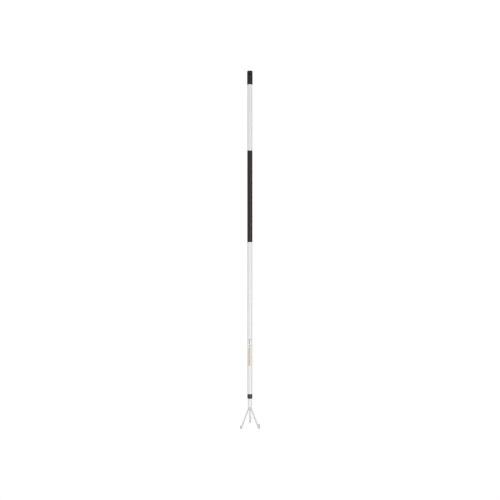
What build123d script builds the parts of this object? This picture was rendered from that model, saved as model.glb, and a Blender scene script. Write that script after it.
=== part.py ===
from build123d import *
import os
from math import copysign, cos, radians, sin

# Long-handled garden cultivator with three hooked tines, in millimetres.
# +Z runs up the shaft and the tines hook towards +Y.
# The origin is the centre of the hanging hole, whose axis is Y.

# Heights above the lowest point of the tines
overall_length = 1544.1
hole_height = 1528.9
cap_foot = 1485.2
tube_top = 1515.1
grip_top = 1201.2
grip_foot = 808.2
label_top = 400.1
label_foot = 276.1
rivet_height = 197.1
tube_foot = 156.1
ferrule_foot = 136.0
tang_foot = 100.7

# Shaft, grip and label
tube_radius = 10.8
tube_wall = 1.0
grip_wall = 0.35
grip_edge = 0.25
label_thickness = 0.12
label_half_angle = 52.0

# End cap
cap_radius = 11.8
cap_crown = 2.6
cap_lip = 0.35
spigot_wall = 1.4
spigot_length = 24.0
core_height = 6.0
web_thickness = 1.6
hang_hole_radius = 2.0
hole_chamfer = 1.9
land_radius = 6.2
land_half_gap = 11.2

# Ferrule
ferrule_taper = 3.2
ferrule_inset = 1.3
ferrule_round = 0.5
sleeve_length = 84.0
sleeve_end = 3.0

# Tang and its weld
tang_radius = 8.9
tang_wall = 1.0
weld_depth = 5.0
weld_stand = 2.0
weld_radius = 8.7
weld_round = 0.8

# Tines
rod_radius = 3.5
bundle_radius = 4.3
rod_turns = (30, 150, 270)
rod_grip_depth = 38.0
mouth_bend_radius = 10.0
mouth_bend_drop = 4.0
hook_radius = 20.0
side_hook_length = 66.0
center_hook_length = 93.0

# Each hook is bent on its own: its corner's x and height, and how far it rises and turns to +X, in degrees
left_corner_x, left_corner_height, left_hook_rise, left_hook_turn = -39.0, 2.6, 2.5, 1.0
center_corner_height, center_hook_rise, center_hook_turn = 28.1, 8.5, 1.6
right_corner_x, right_corner_height, right_hook_rise, right_hook_turn = 41.0, -0.9, 13.0, -1.2

# A blade's sections: share of its length, half width and half thickness
blade_length = 40.0
blade_sections = [
    (0.0, 3.5, 3.5),
    (0.22, 3.9, 2.7),
    (0.48, 5.0, 1.5),
    (0.68, 4.4, 1.3),
    (0.88, 2.3, 1.0),
    (1.0, 0.7, 0.6),
]

# Blind rivet
rivet_radius = 2.0
rivet_head_radius = 4.0
rivet_head_height = 1.5
rivet_head_round = 0.8
rivet_tail_radius = 3.0
rivet_tail_depth = 2.6
mandrel_radius = 1.1
mandrel_head_radius = 1.9
mandrel_head_length = 2.0
mandrel_recess = 0.4
shank_overlap = 0.2
rivet_reach = 10.0

# Worked out from the above
tube_bore = tube_radius - tube_wall
tang_bore = tang_radius - tang_wall
tang_top = tube_foot + sleeve_length - sleeve_end
side_rod_turn = radians(rod_turns[0])


def level(height):
    """The frame's z at a height above the lowest point of the tines."""
    return height - hole_height


def disc(radius, foot, top):
    """A cylinder about the shaft's axis between two heights."""
    body = Cylinder(radius, top - foot, align=(Align.CENTER, Align.CENTER, Align.MIN))
    return Pos(0, 0, level(foot)) * body


def cross_rod(radius, start, end, height):
    """A cylinder along +Y between two y values at a height."""
    body = Cylinder(radius, end - start, align=(Align.CENTER, Align.CENTER, Align.MIN))
    return Pos(0, start, level(height)) * Rot(-90, 0, 0) * body


def ring_edges(body, height, radius):
    """The body's round edges of one radius at one height."""
    near = 0.01
    at_height = body.edges().filter_by(GeomType.CIRCLE).filter_by_position(
        Axis.Z, level(height) - near, level(height) + near
    )
    return [edge for edge in at_height if abs(edge.radius - radius) < near]


def end_cap():
    """Moulded cap: a skirt over the tube, a webbed spigot in it and a head with the hanging hole."""
    cap = disc(cap_radius, cap_foot, overall_length)
    cap = fillet(ring_edges(cap, overall_length, cap_radius), cap_crown)
    cap = fillet(ring_edges(cap, cap_foot, cap_radius), cap_lip)
    cap -= disc(tube_radius, cap_foot, tube_top)
    spigot = disc(tube_bore, tube_top - spigot_length, tube_top)
    cap += spigot
    core = disc(tube_bore - spigot_wall, tube_top - spigot_length, tube_top + core_height)
    core -= web_cross(tube_top - spigot_length, tube_top + core_height)
    cap -= core
    cap -= cross_rod(hang_hole_radius, -cap_radius, cap_radius, hole_height)
    for side in (-1, 1):
        land_ends = sorted((side * land_half_gap, side * 2 * cap_radius))
        cap -= cross_rod(land_radius, *land_ends, hole_height)
        rim = Cone(
            hang_hole_radius,
            hang_hole_radius + hole_chamfer,
            hole_chamfer,
            align=(Align.CENTER, Align.CENTER, Align.MIN),
        )
        rim_foot = Pos(0, side * (land_half_gap - hole_chamfer), level(hole_height))
        cap -= rim_foot * Rot(-90 * side, 0, 0) * rim
    return cap


def web_cross(foot, top):
    """Two crossed stiffening webs inside the spigot."""
    span = 2 * tube_bore
    plate = Box(span, web_thickness, top - foot, align=(Align.CENTER, Align.CENTER, Align.MIN))
    plate = Pos(0, 0, level(foot)) * plate
    return plate + Rot(0, 0, 90) * plate


def shaft_tube():
    """Thin aluminium tube with the rivet's hole near its foot."""
    tube = disc(tube_radius, tube_foot, tube_top) - disc(tube_bore, tube_foot, tube_top)
    return tube - rivet_hole()


def grip_sleeve():
    """Soft sleeve shrunk on the middle of the shaft."""
    outside = tube_radius + grip_wall
    sleeve = disc(outside, grip_foot, grip_top)
    ends = ring_edges(sleeve, grip_top, outside) + ring_edges(sleeve, grip_foot, outside)
    return fillet(ends, grip_edge) - disc(tube_radius, grip_foot, grip_top)


def shaft_label():
    """Printed film on the front of the tube."""
    film = disc(tube_radius + label_thickness, label_foot, label_top)
    film -= disc(tube_radius, label_foot, label_top)
    half_width = tube_radius * sin(radians(label_half_angle))
    height = label_top - label_foot
    window = Box(2 * half_width, 2 * tube_radius, height, align=(Align.CENTER, Align.MAX, Align.MIN))
    return film & Pos(0, 0, level(label_foot)) * window


def ferrule():
    """Moulded collar under the tube, with a closed sleeve that goes up inside it."""
    collar = disc(tube_radius, ferrule_foot, tube_foot)
    collar = chamfer(ring_edges(collar, ferrule_foot, tube_radius), ferrule_taper, ferrule_inset)
    foot_edges = ring_edges(collar, ferrule_foot, tube_radius - ferrule_inset)
    collar = fillet(foot_edges, ferrule_round)
    sleeve = disc(tube_bore, tube_foot, tube_foot + sleeve_length)
    body = collar + sleeve - disc(tang_radius, ferrule_foot, tang_top)
    return body - rivet_hole()


def tang_tube():
    """Steel tube that joins the tines to the shaft."""
    tube = disc(tang_radius, tang_foot, tang_top) - disc(tang_bore, tang_foot, tang_top)
    return tube - rivet_hole()


def rivet_hole():
    """The drilled hole through tube, sleeve and tang, from the back only."""
    return cross_rod(rivet_radius, 0, 2 * tube_radius, rivet_height)


def rivet_body():
    """Blind rivet: a head saddled on the tube, a hollow shank and a swollen tail in the tang."""
    head_top = tube_radius + rivet_head_height
    head = cross_rod(rivet_head_radius, 0, head_top, rivet_height)
    rim = head.edges().filter_by(GeomType.CIRCLE).sort_by(Axis.Y)[-1]
    head = fillet(rim, rivet_head_round)
    head -= disc(tube_radius, rivet_height - rivet_reach, rivet_height + rivet_reach)
    tail_start = tang_bore - rivet_tail_depth
    tail = cross_rod(rivet_tail_radius, tail_start, tang_bore, rivet_height)
    tail &= disc(tang_bore, rivet_height - rivet_reach, rivet_height + rivet_reach)
    shank = cross_rod(rivet_radius, tail_start, tube_radius + shank_overlap, rivet_height)
    body = head + shank + tail
    return body - cross_rod(mandrel_radius, 0, 2 * tube_radius, rivet_height)


def rivet_mandrel():
    """The steel stem left in the rivet after it is pulled."""
    tail_start = tang_bore - rivet_tail_depth
    head_start = tail_start - mandrel_head_length
    stem_end = tube_radius + rivet_head_height - mandrel_recess
    stem = cross_rod(mandrel_radius, head_start, stem_end, rivet_height)
    return stem + cross_rod(mandrel_head_radius, head_start, tail_start, rivet_height)


def blade(start, direction, across):
    """The forged flat tip: a rod that spreads into a pointed blade."""
    outlines = []
    for share, half_width, half_thickness in blade_sections:
        station = start + direction * (share * blade_length)
        plane = Plane(origin=station, x_dir=across, z_dir=direction)
        outlines.append(plane * Ellipse(half_width, half_thickness))
    return loft(outlines)


def tine(top_x, top_y, corner_x, corner_height, hook_length, hook_rise, hook_turn):
    """One bent rod: up in the tang, out from its mouth, round the hook and flat at the tip."""
    top = Vector(top_x, top_y, level(tang_foot + rod_grip_depth))
    bend = Vector(top_x, top_y, level(tang_foot - mouth_bend_drop))
    corner = Vector(corner_x, top_y, level(corner_height))
    rise, turn = radians(hook_rise), radians(hook_turn)
    hook = Vector(sin(turn) * cos(rise), cos(turn) * cos(rise), sin(rise))
    across = Vector(cos(turn), -sin(turn), 0)
    blade_start = corner + hook * (hook_length - blade_length)
    if corner_x == top_x:
        path = FilletPolyline(top, corner, blade_start, radius=hook_radius)
    else:
        radii = (mouth_bend_radius, hook_radius)
        path = FilletPolyline(top, bend, corner, blade_start, radius=radii)
    rod = sweep(Plane(top, z_dir=(0, 0, -1)) * Circle(rod_radius), path=path)
    return rod + blade(blade_start, hook, across)


def side_tine(corner_x, corner_height, hook_rise, hook_turn):
    """The left or right tine, which leaves the mouth outwards."""
    top_x = copysign(bundle_radius * cos(side_rod_turn), corner_x)
    top_y = bundle_radius * sin(side_rod_turn)
    return tine(top_x, top_y, corner_x, corner_height, side_hook_length, hook_rise, hook_turn)


def center_tine():
    """The middle tine, straight down in front and longer in the hook."""
    hook = (center_hook_length, center_hook_rise, center_hook_turn)
    return tine(0, -bundle_radius, 0, center_corner_height, *hook)


def mouth_weld():
    """Weld metal that fills the tang's mouth round the rods and stands a little below it."""
    bead_foot = tang_foot - weld_stand
    bead = disc(weld_radius, bead_foot, tang_foot)
    bead = fillet(ring_edges(bead, bead_foot, weld_radius), weld_round)
    metal = bead + disc(tang_bore, tang_foot, tang_foot + weld_depth)
    for turn in rod_turns:
        rod = disc(rod_radius, bead_foot, tang_foot + weld_depth)
        metal -= Rot(0, 0, turn) * Pos(bundle_radius, 0, 0) * rod
    return metal


parts = {
    "end_cap": end_cap(),
    "shaft_tube": shaft_tube(),
    "grip_sleeve": grip_sleeve(),
    "shaft_label": shaft_label(),
    "ferrule": ferrule(),
    "tang_tube": tang_tube(),
    "mouth_weld": mouth_weld(),
    "tine_left": side_tine(left_corner_x, left_corner_height, left_hook_rise, left_hook_turn),
    "tine_center": center_tine(),
    "tine_right": side_tine(right_corner_x, right_corner_height, right_hook_rise, right_hook_turn),
    "rivet_body": rivet_body(),
    "rivet_mandrel": rivet_mandrel(),
}

os.makedirs("parts", exist_ok=True)
for name, shape in parts.items():
    export_step(shape, f"parts/{name}.step")
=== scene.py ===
import math

import bpy
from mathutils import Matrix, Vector, noise


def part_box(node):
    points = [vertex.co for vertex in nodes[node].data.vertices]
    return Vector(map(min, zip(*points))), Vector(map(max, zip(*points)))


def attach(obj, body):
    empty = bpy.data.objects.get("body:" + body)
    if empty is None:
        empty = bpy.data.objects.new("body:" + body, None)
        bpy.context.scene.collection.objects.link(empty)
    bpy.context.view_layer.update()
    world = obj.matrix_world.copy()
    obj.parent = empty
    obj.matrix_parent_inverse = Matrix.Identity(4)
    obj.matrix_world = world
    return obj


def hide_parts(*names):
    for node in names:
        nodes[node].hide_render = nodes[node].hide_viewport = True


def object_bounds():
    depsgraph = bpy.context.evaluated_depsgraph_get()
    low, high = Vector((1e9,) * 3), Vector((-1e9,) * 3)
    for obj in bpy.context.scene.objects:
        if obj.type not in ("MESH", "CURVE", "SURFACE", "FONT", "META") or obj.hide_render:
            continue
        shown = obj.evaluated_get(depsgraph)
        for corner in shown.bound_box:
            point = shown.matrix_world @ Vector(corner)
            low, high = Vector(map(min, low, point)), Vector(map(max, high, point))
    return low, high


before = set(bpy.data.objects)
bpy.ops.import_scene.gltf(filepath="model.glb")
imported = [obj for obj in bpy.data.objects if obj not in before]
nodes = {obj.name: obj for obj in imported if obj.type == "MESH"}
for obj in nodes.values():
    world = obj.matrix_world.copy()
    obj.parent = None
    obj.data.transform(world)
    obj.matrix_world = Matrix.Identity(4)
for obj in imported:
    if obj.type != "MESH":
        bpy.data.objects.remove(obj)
cad_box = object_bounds()

MM = 0.001
FRONT = -1  # the front of the tool faces -Y
tool_foot = cad_box[0].z
WHITE = (1, 1, 1, 1)


# ---------------------------------------------------------------- mesh helpers

ARC_STEPS_AT_LEAST = 4


def add_mesh(name, vertices, faces, slot):
    """A new smooth piece that rides on the one body. Its slot is not used."""
    mesh = bpy.data.meshes.new(name)
    mesh.from_pydata([tuple(v) for v in vertices], [], faces)
    mesh.validate()
    mesh.polygons.foreach_set("use_smooth", [True] * len(mesh.polygons))
    piece = bpy.data.objects.new(name, mesh)
    bpy.context.scene.collection.objects.link(piece)
    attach(piece, "root")
    return piece


def skin(rings):
    """Vertices and faces of a closed tube through equal rings of points, capped at both ends."""
    count = len(rings[0])
    vertices = [point for ring in rings for point in ring]
    faces = []
    for row in range(len(rings) - 1):
        for col in range(count):
            after = (col + 1) % count
            low, high = row * count, (row + 1) * count
            faces.append((low + col, low + after, high + after, high + col))
    last = (len(rings) - 1) * count
    faces.append(tuple(reversed(range(count))))
    faces.append(tuple(range(last, last + count)))
    return vertices, faces


def run(start, end, step):
    """Points along a straight run, without its start."""
    steps = max(1, round((end - start).length / step))
    return [start.lerp(end, i / steps) for i in range(1, steps + 1)]


def rounded(points, radii, step):
    """Points along straight runs joined by tangent arcs, about a step apart."""
    line = [points[0]]
    for before, corner, after, radius in zip(points, points[1:], points[2:], radii):
        arrive = (corner - before).normalized()
        leave = (after - corner).normalized()
        turn = arrive.angle(leave)
        start = corner - arrive * radius * math.tan(turn / 2)
        inward = (leave - arrive * arrive.dot(leave)).normalized()
        line += run(line[-1], start, step)
        steps = max(ARC_STEPS_AT_LEAST, round(radius * turn / step))
        for i in range(1, steps + 1):
            angle = turn * i / steps
            along, aside = math.sin(angle), 1 - math.cos(angle)
            line.append(start + arrive * radius * along + inward * radius * aside)
    return line + run(line[-1], points[-1], step)


def smooth(share):
    """0 to 1 with level ends."""
    share = min(max(share, 0.0), 1.0)
    return share * share * (3 - 2 * share)


# ---------------------------------------------------------------- tines

# Each hook: how far right its corner stands, and how far it rises and turns right, in degrees
HOOKS = {
    "tine_left": (-39.0 * MM, 2.5, 1.0),
    "tine_center": (0, 8.5, 1.6),
    "tine_right": (41.0 * MM, 13, -1.2),
}
HOOK_RADIUS = 20 * MM
ROD_RADIUS = 3.5 * MM
ROD_STEP = 1.0 * MM
MOUTH_BEND_RADIUS = 10 * MM
MOUTH_BEND_BELOW_TANG = 4 * MM
SETTLING_ROUNDS = 3
RING_POINTS = 36

BLADE_LENGTH = 40 * MM
BLADE_HALF_WIDTH = 4.96 * MM
BLADE_HALF_THICKNESS = 1.5 * MM
BLADE_WIDEST = 0.46  # of its length
TIP_HALF_WIDTH = 0.5 * MM
TIP_HALF_THICKNESS = 0.6 * MM
TIP_NARROWING = 1.7
TIP_THINNING = 1.2
ROUND_POWER = 2.0  # a superellipse's power: round in the rod, a ridged lens in the blade
BLADE_POWER = 1.25
HAMMER_DEPTH = 0.07 * MM
HAMMER_SIZE = 5 * MM
HAMMER_ONSET = 0.2  # of the blade's length


def tine_path(node, corner_x, rise, turn):
    """The rod's centre line, from the CAD node's own box and how its hook rises and turns."""
    low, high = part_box(node)
    tang_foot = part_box("tang_tube")[0].z
    if corner_x == 0:
        top_x = 0.0
    else:
        top_x = low.x + ROD_RADIUS if corner_x > 0 else high.x - ROD_RADIUS
    top = Vector((top_x, low.y + ROD_RADIUS, high.z))
    hook = Vector((
        math.sin(turn) * math.cos(rise),
        math.cos(turn) * math.cos(rise),
        math.sin(rise),
    ))
    tip_y = high.y - TIP_HALF_WIDTH * abs(math.sin(turn)) - TIP_HALF_THICKNESS * math.sin(rise)
    length = (tip_y - top.y) / hook.y

    # Each round moves the corner until the hook's lowest place stands on the foot of the box
    corner = Vector((corner_x, top.y, low.z))
    for _ in range(SETTLING_ROUNDS):
        points, radii = [top, corner, corner + hook * length], [HOOK_RADIUS]
        if corner_x:
            bend = Vector((top.x, top.y, tang_foot - MOUTH_BEND_BELOW_TANG))
            points.insert(1, bend)
            radii.insert(0, MOUTH_BEND_RADIUS)
        line = rounded(points, radii, ROD_STEP)
        corner.z += low.z - (min(point.z for point in line) - ROD_RADIUS)
    return line


def blade_shape(share):
    """Half width, half thickness and section power at a share of the blade's length."""
    spread = smooth(share / BLADE_WIDEST)
    narrowing = max(0.0, (share - BLADE_WIDEST) / (1 - BLADE_WIDEST))
    width = ROD_RADIUS + (BLADE_HALF_WIDTH - ROD_RADIUS) * spread
    width += (TIP_HALF_WIDTH - width) * narrowing ** TIP_NARROWING
    thickness = ROD_RADIUS + (BLADE_HALF_THICKNESS - ROD_RADIUS) * spread
    thickness += (TIP_HALF_THICKNESS - thickness) * narrowing ** TIP_THINNING
    power = ROUND_POWER + (BLADE_POWER - ROUND_POWER) * spread
    return width, thickness, power


def section(center, tangent, share):
    """One ring: a circle in the rod, and a ridged lens with hammer marks in the blade."""
    width, thickness, power = blade_shape(share)
    across = (Vector((1, 0, 0)) - tangent * tangent.x).normalized()
    up = tangent.cross(across)
    hammered = HAMMER_DEPTH * smooth(share / HAMMER_ONSET) * (1 - share)
    ring = []
    for i in range(RING_POINTS):
        angle = 2 * math.pi * i / RING_POINTS
        c, s = math.cos(angle), math.sin(angle)
        x = width * math.copysign(abs(c) ** (2 / power), c)
        y = thickness * math.copysign(abs(s) ** (2 / power), s)
        point = center + across * x + up * y
        ring.append(point + up * noise.noise(point / HAMMER_SIZE) * hammered)
    return ring


def forged_tine(node):
    """The bent rod with its forged blade, which stands for the CAD tine."""
    corner_x, rise, turn = HOOKS[node]
    line = tine_path(node, corner_x, math.radians(rise), math.radians(turn))
    lengths = [0.0]
    for a, b in zip(line, line[1:]):
        lengths.append(lengths[-1] + (b - a).length)
    blade_start = lengths[-1] - BLADE_LENGTH
    rings = []
    for i, (center, at) in enumerate(zip(line, lengths)):
        ahead, behind = line[min(i + 1, len(line) - 1)], line[max(i - 1, 0)]
        share = max(0.0, (at - blade_start) / BLADE_LENGTH)
        rings.append(section(center, (ahead - behind).normalized(), share))
    piece = add_mesh(node + "_forged", *skin(rings), "white_steel_coat")
    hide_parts(node)
    return piece


# ---------------------------------------------------------------- weld

BUNDLE_RADIUS = 4.3 * MM  # from the tang's axis to each rod's
ROD_TURNS = [math.radians(a) for a in (30, 150, 270)]
WELD_DEPTH = 5 * MM
WELD_BACK = (0.02, 0.5, 1.0)  # the rings of its flat back, as shares of the bore
WELD_DOME = 1.3 * MM
WELD_DOME_POWER = 6
WELD_EDGE_POWER = 10
WELD_RIM_INSET = 0.15 * MM
WELD_BORE_INSET = 1.05 * MM  # just more than the tang's wall
WELD_CLIMB = 1.7 * MM
WELD_CLIMB_REACH = 1.2 * MM
ROD_RIPPLE = 0.08  # of the climb
ROD_RIPPLES = 6
RIM_RIPPLE = 0.05 * MM
RIM_RIPPLES = 23
WELD_LUMP = 0.12 * MM
WELD_LUMP_SIZE = 1.5 * MM
WELD_RINGS = 44
WELD_POINTS = 120
WELD_ANGLES = [2 * math.pi * i / WELD_POINTS for i in range(WELD_POINTS)]


def weld_drop(radius, angle, rim):
    """How far the weld's face stands below the tang's mouth at a place across it."""
    spot = Vector((radius * math.cos(angle), radius * math.sin(angle)))
    share = radius / rim
    drop = WELD_DOME * math.sqrt(max(0.0, 1 - share ** WELD_DOME_POWER))
    rippling = smooth(share) * (1 - smooth(share - 0.5))
    drop += RIM_RIPPLE * math.sin(RIM_RIPPLES * angle) * rippling
    climb = 0.0
    for turn in ROD_TURNS:
        rod = Vector((math.cos(turn), math.sin(turn))) * BUNDLE_RADIUS
        away = spot - rod
        gap = max(0.0, away.length - ROD_RADIUS)
        ripple = 1 + ROD_RIPPLE * math.sin(ROD_RIPPLES * math.atan2(away.y, away.x))
        climb = max(climb, WELD_CLIMB * ripple * math.exp(-((gap / WELD_CLIMB_REACH) ** 2)))
    edge = 1 - share ** WELD_EDGE_POWER
    lump = WELD_LUMP * noise.noise(spot.to_3d() / WELD_LUMP_SIZE)
    return drop + (climb + lump) * edge


def weld_ring(radius, heights):
    """One ring of the weld round the tang's axis, from its height at each angle."""
    ring = []
    for angle, height in zip(WELD_ANGLES, heights):
        ring.append(Vector((radius * math.cos(angle), radius * math.sin(angle), height)))
    return ring


def weld_bead():
    """Rippled weld metal in the tang's mouth and up round the rods, which stands for the CAD weld."""
    tang_low, tang_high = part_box("tang_tube")
    mouth = tang_low.z
    rim = tang_high.x - WELD_RIM_INSET
    bore = tang_high.x - WELD_BORE_INSET
    rings = [weld_ring(bore * share, [mouth + WELD_DEPTH] * WELD_POINTS) for share in WELD_BACK]
    rings += [weld_ring(radius, [mouth] * WELD_POINTS) for radius in (bore, rim)]
    for i in range(1, WELD_RINGS):
        radius = rim * math.cos(math.pi / 2 * i / WELD_RINGS)
        heights = [mouth - weld_drop(radius, angle, rim) for angle in WELD_ANGLES]
        rings.append(weld_ring(radius, heights))
    piece = add_mesh("mouth_weld_bead", *skin(rings[::-1]), "white_steel_coat")
    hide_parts("mouth_weld")
    return piece


# ---------------------------------------------------------------- printed label

FILM_THICKNESS = 0.08 * MM
FILM_MARGIN = 0.4 * MM
FILM_CORNER = 2 * MM
INK_THICKNESS = 0.03 * MM
MARK_X = -1.7 * MM
DASHES = 17
DASH_PITCH = 4.3 * MM
DASH_SIZE = (9.6 * MM, 2.9 * MM)
DASH_START = 5 * MM
DASH_CORNER = 0.5 * MM
DASH_MEAN = 0.84  # of the full width
DASH_SWING = 0.16
# Grey bars: how far right of the marks and how far above the label's foot, width and height, in mm
GREY_BARS = [
    (0.6, 84, 1.7, 15),
    (0.6, 106, 2.1, 22),
    (5.7, 114, 6.4, 1.3),
    (5.7, 89, 6.4, 1.4),
]
BAR_CORNER = 0.4 * MM
PATCH_ROWS = 24
PATCH_COLS = 16


def patch(radius, thickness, center_x, center_z, width, height, corner):
    """A thin closed patch with round corners that lies on the front of a round tube."""
    inner, outer = [], []
    for i in range(PATCH_ROWS + 1):
        z = -height / 2 * math.cos(math.pi * i / PATCH_ROWS)
        cut = max(0.0, corner - (height / 2 - abs(z)))
        half = width / 2 - corner + math.sqrt(max(0.0, corner ** 2 - cut ** 2))
        for layer, r in ((inner, radius), (outer, radius + thickness)):
            row = []
            for j in range(PATCH_COLS + 1):
                turn = (center_x + half * (2 * j / PATCH_COLS - 1)) / radius
                row.append(Vector((r * math.sin(turn), FRONT * r * math.cos(turn), center_z + z)))
            layer.append(row)
    return [high + low[::-1] for low, high in zip(inner, outer)]


def joined(patches):
    """One set of vertices and faces from several closed patches."""
    vertices, faces = [], []
    for rings in patches:
        more, more_faces = skin(rings)
        faces += [tuple(i + len(vertices) for i in face) for face in more_faces]
        vertices += more
    return vertices, faces


def label():
    """A clear film with plain printed marks: a row of orange dashes under grey bars."""
    low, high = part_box("shaft_label")
    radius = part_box("shaft_tube")[1].x
    middle, tall = (low.z + high.z) / 2, high.z - low.z
    width = (high.x - low.x) - FILM_MARGIN
    film_patch = patch(radius, FILM_THICKNESS, 0, middle, width, tall, FILM_CORNER)
    film_piece = add_mesh("label_clear_film", *joined([film_patch]), "label_film")
    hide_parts("shaft_label")

    face = radius + FILM_THICKNESS
    dashes = []
    for i in range(DASHES):
        dash_width = DASH_SIZE[0] * (DASH_MEAN + DASH_SWING * math.cos(math.pi / 2 * i))
        place = (MARK_X, low.z + DASH_START + i * DASH_PITCH)
        dashes.append(patch(face, INK_THICKNESS, *place, dash_width, DASH_SIZE[1], DASH_CORNER))
    orange = add_mesh("label_orange_dashes", *joined(dashes), "label_film")

    bars = []
    for right, up, bar_width, bar_height in GREY_BARS:
        place = (MARK_X + right * MM, low.z + up * MM)
        bars.append(patch(face, INK_THICKNESS, *place, bar_width * MM, bar_height * MM, BAR_CORNER))
    grey = add_mesh("label_grey_bars", *joined(bars), "label_film")
    return film_piece, orange, grey


# ---------------------------------------------------------------- materials

NOISE_SPREAD = (0.3, 0.7)  # most of a noise texture's values lie here
HOLE_RIM = (3.9 * MM, 4.1 * MM)  # distances from the hanging hole's axis, which is the Y axis
HOLE_BORE = (2.1 * MM, 2.3 * MM)
# Near-black painted shade for the inside of the hanging hole
HOLE_PAINTED_SHADE = (0.001, 0.001, 0.001)

# Two shades of each material, in linear colour
CAP_BLACK = (0.0025, 0.0024, 0.0025), (0.004, 0.0038, 0.0039)
FERRULE_BLACK = (0.027, 0.0262, 0.0266), (0.042, 0.041, 0.0415)
GRIP_BROWN = (0.0145, 0.0046, 0.0026), (0.0205, 0.0068, 0.0038)
TUBE_WHITE = (0.762, 0.75, 0.757), (0.787, 0.775, 0.782)
FILM_WHITE = (0.767, 0.756, 0.762), (0.782, 0.77, 0.777)
STEEL_WHITE = (0.755, 0.755, 0.75), (0.785, 0.785, 0.78)
TINE_COAT = (0.61, 0.61, 0.61), (0.68, 0.68, 0.678)
# Painted shade for the tines' tips, drawn as a thinner, rubbed coat
TINE_TIP_PAINTED_SHADE = (0.47, 0.47, 0.475), (0.59, 0.59, 0.596)
ORANGE_INK = (0.68, 0.34, 0.08), (0.56, 0.25, 0.045)
GREY_INK = (0.13, 0.13, 0.132), (0.08, 0.08, 0.082)
ALUMINIUM = (0.66, 0.66, 0.67), (0.8, 0.8, 0.81)
BARE_STEEL = (0.36, 0.35, 0.34), (0.5, 0.49, 0.48)


def add_node(tree, kind, values=None, **settings):
    """A node with its settings, and its inputs as values or links."""
    made = tree.nodes.new(kind)
    for key, value in settings.items():
        setattr(made, key, value)
    for key, value in (values or {}).items():
        if isinstance(value, bpy.types.NodeSocket):
            tree.links.new(value, made.inputs[key])
        else:
            made.inputs[key].default_value = value
    return made


class Shader:
    """A procedural material: its principled shader, and short ways to add nodes to it.

    Its plain colour and roughness are for where no pattern is linked to them.
    """

    def __init__(self, name, color, roughness, metallic=0.0, ior=1.5):
        self.material = bpy.data.materials.new(name)
        self.material.use_nodes = True
        self.tree = self.material.node_tree
        self.surface = self.tree.nodes["Principled BSDF"]
        self.set("Base Color", (*color, 1))
        self.set("Roughness", roughness)
        self.set("Metallic", metallic)
        self.set("IOR", ior)
        self.place = self.node("ShaderNodeTexCoord").outputs["Object"]

    def set(self, socket, value):
        self.surface.inputs[socket].default_value = value

    def link(self, output, socket):
        self.tree.links.new(output, self.surface.inputs[socket])

    def node(self, kind, values=None, **settings):
        return add_node(self.tree, kind, values, **settings)

    def stretched(self, scale):
        """The object's own coordinates, stretched by a scale for each axis."""
        values = {"Vector": self.place, "Scale": scale}
        return self.node("ShaderNodeMapping", values).outputs["Vector"]

    def axis(self, letter):
        """The object's own coordinate along an axis."""
        return self.node("ShaderNodeSeparateXYZ", {"Vector": self.place}).outputs[letter]

    def grain(self, size, detail, place=None):
        """Noise with features of about a size in metres."""
        values = {"Vector": place or self.place, "Scale": 1 / size, "Detail": detail}
        return self.node("ShaderNodeTexNoise", values).outputs["Fac"]

    def cells(self, size):
        """The distance to the middle of round cells of about a size in metres."""
        values = {"Vector": self.place, "Scale": 1 / size}
        return self.node("ShaderNodeTexVoronoi", values, feature="F1").outputs["Distance"]

    def ranged(self, value, source, target):
        """A value moved from its source range to a target range."""
        values = {
            "Value": value,
            "From Min": source[0],
            "From Max": source[1],
            "To Min": target[0],
            "To Max": target[1],
        }
        return self.node("ShaderNodeMapRange", values).outputs["Result"]

    def times(self, first, second):
        return self.node("ShaderNodeMath", {0: first, 1: second}, operation="MULTIPLY").outputs[0]

    def mixed(self, factor, shades):
        """A colour between two shades, each of them a colour or a link."""
        made = self.node("ShaderNodeMix", {"Factor": factor}, data_type="RGBA")
        for index, shade in zip((6, 7), shades):  # the mix node's colour inputs, A and B
            if isinstance(shade, bpy.types.NodeSocket):
                self.tree.links.new(shade, made.inputs[index])
            else:
                made.inputs[index].default_value = (*shade, 1)
        return made.outputs[2]

    def mottle(self, pattern, shades):
        self.link(self.mixed(pattern, shades), "Base Color")

    def gloss(self, pattern, target, source=NOISE_SPREAD):
        self.link(self.ranged(pattern, source, target), "Roughness")

    def relief(self, *layers):
        """Bumps on top of each other, each with its pattern, depth and strength."""
        normal = None
        for pattern, depth, strength in layers:
            values = {"Height": pattern, "Distance": depth, "Strength": strength}
            if normal:
                values["Normal"] = normal
            normal = self.node("ShaderNodeBump", values).outputs["Normal"]
        self.link(normal, "Normal")


def black_plastic(name, shades):
    """Moulded black plastic with a fine spark-eroded grain, and painted shade in the hanging hole."""
    s = Shader(name, shades[1], 0.34, ior=1.44)
    flat = s.stretched((1, 0, 1))
    from_hole = s.node("ShaderNodeVectorMath", {0: flat}, operation="LENGTH").outputs["Value"]
    outside = s.ranged(from_hole, HOLE_RIM, (0, 1))
    # Painted shade: the hanging hole's inside is coloured near black
    s.mottle(outside, (HOLE_PAINTED_SHADE, s.mixed(s.grain(9 * MM, 3), shades)))
    face_gloss = s.ranged(s.grain(4 * MM, 4), NOISE_SPREAD, (0.3, 0.4))
    hole_gloss = s.ranged(from_hole, HOLE_BORE, (1, 0.2))
    s.gloss(outside, (hole_gloss, face_gloss), source=(0, 1))
    s.relief((s.grain(0.35 * MM, 3), 0.03 * MM, 0.5))
    return s.material


def tube_coat():
    """Smooth white powder coat on the aluminium tube, with a faint orange peel."""
    s = Shader("white_powder_coat_tube", (0.775, 0.763, 0.77), 0.36)
    s.mottle(s.grain(60 * MM, 3), TUBE_WHITE)
    scuffs = s.grain(6 * MM, 5, s.stretched((1, 1, 0.12)))
    s.gloss(scuffs, (0.31, 0.45), source=(0.35, 0.7))
    s.relief((s.grain(1.6 * MM, 1), 0.02 * MM, 0.6))
    return s.material


def steel_coat():
    """White powder coat on the steel tang, with a fine orange peel."""
    s = Shader("white_powder_coat_steel", (0.77, 0.77, 0.765), 0.42)
    s.mottle(s.grain(14 * MM, 4), STEEL_WHITE)
    s.gloss(s.grain(5 * MM, 4), (0.38, 0.5))
    s.relief((s.grain(0.9 * MM, 2), 0.03 * MM, 0.7))
    return s.material


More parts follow.
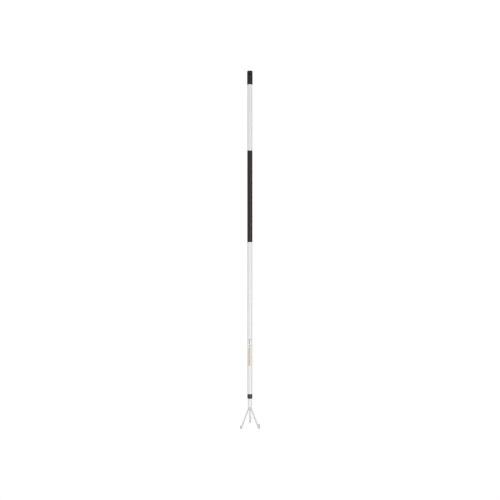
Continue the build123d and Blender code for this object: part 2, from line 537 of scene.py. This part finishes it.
def tine_coat(name, tip_y):
    """The same coat on a tine, a little greyer, with painted shade towards the tip in patchy rubbed
    strokes; there it is also a touch metallic and dips a little.
    """
    s = Shader(name, (0.66, 0.66, 0.66), 0.46)
    coat = s.mixed(s.grain(9 * MM, 5), TINE_COAT)
    strokes = s.grain(2.5 * MM, 5, s.stretched((1, 0.25, 1)))
    # Painted shade: the coat darkens towards the tip in patchy rubbed strokes
    shaded_tip = s.mixed(strokes, TINE_TIP_PAINTED_SHADE)
    reach = s.ranged(s.axis("Y"), (tip_y - 26 * MM, tip_y - 4 * MM), (0, 1))
    patchy = s.ranged(s.grain(3.2 * MM, 5), (0.25, 0.6), (0.35, 1))
    tip_shade_zone = s.ranged(s.times(reach, patchy), (0.2, 0.6), (0, 1))
    s.mottle(tip_shade_zone, (coat, shaded_tip))
    s.link(s.ranged(tip_shade_zone, (0, 1), (0, 0.12)), "Metallic")
    s.gloss(s.grain(5 * MM, 4), (0.4, 0.54))
    s.relief((s.grain(0.9 * MM, 2), 0.03 * MM, 0.7), (tip_shade_zone, 0.03 * MM, -0.6))
    return s.material


def soft_grip():
    """Dark soft-touch sleeve with a fine pebbled grain."""
    s = Shader("soft_touch_sleeve", (0.0175, 0.005, 0.0038), 0.34, ior=1.44)
    s.mottle(s.grain(25 * MM, 4), GRIP_BROWN)
    s.gloss(s.grain(7 * MM, 4), (0.3, 0.4))
    s.relief((s.cells(0.9 * MM), 0.07 * MM, 0.5), (s.grain(0.3 * MM, 2), 0.02 * MM, 0.5))
    return s.material


def label_film():
    """Smooth clear-coated film in the tube's white."""
    s = Shader("label_film_white", (0.775, 0.763, 0.77), 0.22, ior=1.49)
    s.mottle(s.grain(30 * MM, 2), FILM_WHITE)
    s.relief((s.grain(3 * MM, 1), 0.01 * MM, 0.4))
    return s.material


def ink(name, shades):
    """Printed ink with a little unevenness."""
    s = Shader(name, shades[1], 0.4, ior=1.48)
    s.mottle(s.grain(0.5 * MM, 4), shades)
    s.gloss(s.grain(1 * MM, 3), (0.34, 0.5))
    return s.material


def rivet_metal(name, shades, roughness):
    """Bare metal with fine scratches."""
    s = Shader(name, shades[1], roughness, metallic=1.0)
    scratches = s.grain(0.4 * MM, 5, s.stretched((1, 1, 6)))
    s.mottle(scratches, shades)
    s.gloss(scratches, (roughness - 0.08, roughness + 0.12))
    s.relief((scratches, 0.01 * MM, 0.5))
    return s.material


def dress(material, *objects):
    """Gives objects one material in place of their own."""
    for piece in objects:
        piece.data.materials.clear()
        piece.data.materials.append(material)


# ---------------------------------------------------------------- room, floor, lights and camera

CAMERA_DISTANCE = 3.5
CAMERA_LENS = 58.6
CAMERA_SENSOR = 36
CAMERA_ABOVE_TINES = 0.7743
CAMERA_ASIDE = 0.6 * MM
FLOOR_HALF = 8.0

# How bright the room is: to the camera, all round, and how much more from some sides
WHITE_SHOWN = 1.02
ROOM_LIGHT = 0.57
ROOM_FRONT = 0.41
ROOM_ABOVE = 0.2
ROOM_BEHIND = 0.7
MIRRORED_BEHIND = 0.2  # what reflections show of the light from behind

# Place and target as right, back and up from the tines' foot, then size and power
SOFTBOXES = {
    "key": ((0.75, -1.6, 0.3), (0, 0, 0.35), (0.45, 1.8), 8.0),
    "fill": ((-1.3, -1.3, -0.4), (0, 0, 0.1), (1.6, 1.6), 3.8),
    "back": ((0.2, 1.6, 2.3), (0, 0, 0.7), (1.8, 1.2), 9.0),
}


def studio_world():
    """A plain white room with more light from the front and back than from the sides."""
    world = bpy.data.worlds.new("studio")
    bpy.context.scene.world = world
    world.use_nodes = True
    tree = world.node_tree
    tree.nodes.clear()

    def math_node(operation, *values):
        return add_node(tree, "ShaderNodeMath", dict(enumerate(values)), operation=operation).outputs[0]

    def towards(direction):
        values = {0: place, 1: direction}
        return add_node(tree, "ShaderNodeVectorMath", values, operation="DOT_PRODUCT").outputs["Value"]

    place = add_node(tree, "ShaderNodeTexCoord").outputs["Generated"]
    rays = add_node(tree, "ShaderNodeLightPath").outputs
    level = math_node("ADD", towards((0, FRONT * ROOM_FRONT, ROOM_ABOVE)), ROOM_LIGHT)
    behind = math_node("POWER", math_node("MAXIMUM", towards((0, -FRONT, 0)), 0), 2)
    less = MIRRORED_BEHIND - ROOM_BEHIND
    amount = math_node("MULTIPLY_ADD", rays["Is Glossy Ray"], less, ROOM_BEHIND)
    total = math_node("MULTIPLY_ADD", behind, amount, level)
    light = add_node(tree, "ShaderNodeBackground", {"Color": WHITE, "Strength": total})
    shown = add_node(tree, "ShaderNodeBackground", {"Color": WHITE, "Strength": WHITE_SHOWN})
    values = {0: rays["Is Camera Ray"], 1: light.outputs[0], 2: shown.outputs[0]}
    mix = add_node(tree, "ShaderNodeMixShader", values)
    add_node(tree, "ShaderNodeOutputWorld", {0: mix.outputs[0]})


def floor():
    """A plain white floor under the tines. It throws no light or shadow on the tool."""
    half, z = FLOOR_HALF, tool_foot
    mesh = bpy.data.meshes.new("floor")
    corners = [(-half, -half, z), (half, -half, z), (half, half, z), (-half, half, z)]
    mesh.from_pydata(corners, [], [(0, 1, 2, 3)])
    ground = bpy.data.objects.new("floor", mesh)
    bpy.context.scene.collection.objects.link(ground)
    ground.visible_diffuse = False
    ground.visible_glossy = False
    ground.visible_shadow = False
    s = Shader("plain_floor", (0, 0, 0), 1.0)
    s.set("Specular IOR Level", 0)
    s.set("Emission Color", WHITE)
    s.set("Emission Strength", WHITE_SHOWN)
    dress(s.material, ground)


def above_foot(right, back, up):
    """A place given from the foot of the tines, in the frame."""
    return Vector((right, back, tool_foot + up))


def softbox(name, place, target, size, power):
    """A rectangular soft light aimed at a point."""
    data = bpy.data.lights.new(name, "AREA")
    data.shape = "RECTANGLE"
    data.size, data.size_y = size
    data.energy = power
    lamp = bpy.data.objects.new(name, data)
    bpy.context.scene.collection.objects.link(lamp)
    lamp.visible_camera = False
    lamp.location = place
    lamp.rotation_mode = "QUATERNION"
    lamp.rotation_quaternion = (target - place).to_track_quat("-Z", "Y")


def camera():
    """Level with the tool's middle, looking straight at its front."""
    data = bpy.data.cameras.new("camera")
    data.lens = CAMERA_LENS
    data.sensor_width = CAMERA_SENSOR
    eye = bpy.data.objects.new("camera", data)
    bpy.context.scene.collection.objects.link(eye)
    eye.location = above_foot(CAMERA_ASIDE, FRONT * CAMERA_DISTANCE, CAMERA_ABOVE_TINES)
    eye.rotation_euler = (math.pi / 2, 0, 0)
    bpy.context.scene.camera = eye


# ---------------------------------------------------------------- the scene

tines = {node: forged_tine(node) for node in HOOKS}
bead = weld_bead()
film_piece, orange_marks, grey_marks = label()

dress(black_plastic("black_plastic_cap", CAP_BLACK), nodes["end_cap"])
dress(black_plastic("black_plastic_ferrule", FERRULE_BLACK), nodes["ferrule"])
dress(tube_coat(), nodes["shaft_tube"])
dress(soft_grip(), nodes["grip_sleeve"])
dress(steel_coat(), nodes["tang_tube"], bead)
for node, tine in tines.items():
    # Each tine's coat carries painted shade towards its tip
    dress(tine_coat("tip_shaded_coat_" + node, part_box(node)[1].y), tine)
dress(label_film(), film_piece)
dress(ink("orange_ink", ORANGE_INK), orange_marks)
dress(ink("grey_ink", GREY_INK), grey_marks)
dress(rivet_metal("rivet_aluminium", ALUMINIUM, 0.32), nodes["rivet_body"])
dress(rivet_metal("rivet_steel", BARE_STEEL, 0.42), nodes["rivet_mandrel"])

studio_world()
floor()
for name, (place, target, size, power) in SOFTBOXES.items():
    softbox(name, above_foot(*place), above_foot(*target), size, power)
camera()
bpy.context.scene.view_settings.view_transform = "Standard"
